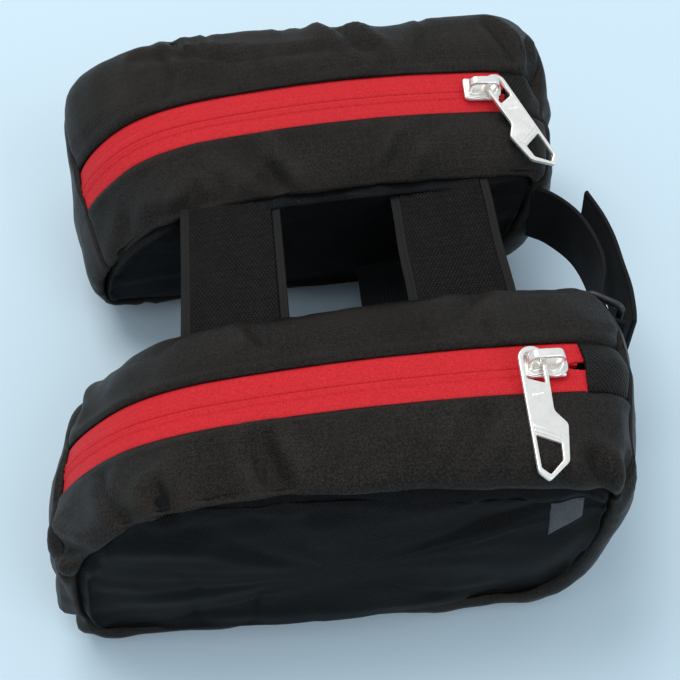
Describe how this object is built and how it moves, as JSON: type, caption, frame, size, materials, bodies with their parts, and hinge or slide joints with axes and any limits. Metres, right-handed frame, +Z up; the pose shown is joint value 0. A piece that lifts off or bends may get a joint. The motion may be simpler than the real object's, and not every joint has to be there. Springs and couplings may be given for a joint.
{
  "type": "twin-pouch top tube bag",
  "caption": "Soft twin-pouch bag that hangs either side of a bicycle's top tube, with red zips, hook-tape straps across the gap and a strap round the head tube.",
  "frame": {"origin": "on the ground at the middle of the bag's outline box", "axes": "+Z up, +X towards the front of the bicycle and the head tube strap, +Y towards the far pouch, across the top tube"},
  "size_m": [0.2144, 0.2344, 0.089],
  "materials": {
    "shell_fabric": "black coated ripstop, soft sheen",
    "panel_fabric": "black coated plain weave, soft sheen",
    "foam_liner": "grey brushed foam lining",
    "zip_tape": "bright red woven tape",
    "zip_coil": "red nylon coil",
    "nickel": "polished nickel plate",
    "hook_tape": "charcoal hook pile with plain selvages",
    "webbing": "black woven webbing",
    "ring_plastic": "black moulded plastic, satin",
    "reflective_print": "grey reflective print, satin"
  },
  "bodies": {
    "near_pouch": {"near_gusset": "shell_fabric", "near_top_inner_strip": "shell_fabric", "near_top_outer_strip": "shell_fabric", "near_zip_end_panel": "shell_fabric", "near_zip_tape_inner": "zip_tape", "near_zip_tape_outer": "zip_tape", "near_zip_coil_inner": "zip_coil", "near_zip_coil_outer": "zip_coil", "near_outer_panel": "panel_fabric", "near_inner_panel": "panel_fabric", "near_outer_liner": "foam_liner", "near_inner_liner": "foam_liner", "near_reflective_patch": "reflective_print", "hook_strap_rear": "hook_tape", "hook_strap_front": "hook_tape", "lower_loop_strap": "webbing", "head_strap_ring": "ring_plastic", "ring_tab": "webbing"},
    "far_pouch": {"far_gusset": "shell_fabric", "far_top_inner_strip": "shell_fabric", "far_top_outer_strip": "shell_fabric", "far_zip_end_panel": "shell_fabric", "far_zip_tape_inner": "zip_tape", "far_zip_tape_outer": "zip_tape", "far_zip_coil_inner": "zip_coil", "far_zip_coil_outer": "zip_coil", "far_outer_panel": "panel_fabric", "far_inner_panel": "panel_fabric", "far_outer_liner": "foam_liner", "far_inner_liner": "foam_liner", "far_reflective_patch": "reflective_print", "head_strap": "webbing"},
    "near_slider": {"near_slider": "nickel"},
    "near_pull": {"near_pull": "nickel"},
    "far_slider": {"far_slider": "nickel"},
    "far_pull": {"far_pull": "nickel"},
    "strap_tail": {"head_strap_tail": "webbing"}
  },
  "joints": [
    {"name": "far_pouch_swing", "type": "hinge", "parent": "near_pouch", "child": "far_pouch", "pos_m": [0, 0.0274, 0.067], "axis": [1, 0, 0], "range_deg": [-20, 25], "deforming": ["head_strap", "lower_loop_strap"]},
    {"name": "near_slider_travel", "type": "hinge", "parent": "near_pouch", "child": "near_slider", "pos_m": [0.01073, -0.06962, -0.3825], "axis": [0, 1, 0], "range_deg": [-10.5, 0.3]},
    {"name": "near_pull_turn", "type": "hinge", "parent": "near_slider", "child": "near_pull", "pos_m": [0.05693, -0.06951, 0.08321], "axis": [0.1094, -0.0815, 0.9906], "range_deg": [-80, 38]},
    {"name": "far_slider_travel", "type": "hinge", "parent": "far_pouch", "child": "far_slider", "pos_m": [0.01073, 0.06238, -0.3825], "axis": [0, 1, 0], "range_deg": [-13, 0]},
    {"name": "far_pull_turn", "type": "hinge", "parent": "far_slider", "child": "far_pull", "pos_m": [0.072, 0.06168, 0.08148], "axis": [0.1164, -0.2405, 0.9636], "range_deg": [-60, 60]},
    {"name": "strap_tail_peel", "type": "hinge", "parent": "near_pouch", "child": "strap_tail", "pos_m": [0.10293, -0.04122, 0.045], "axis": [0, 0, 1], "range_deg": [-70, 0]}
  ]
}
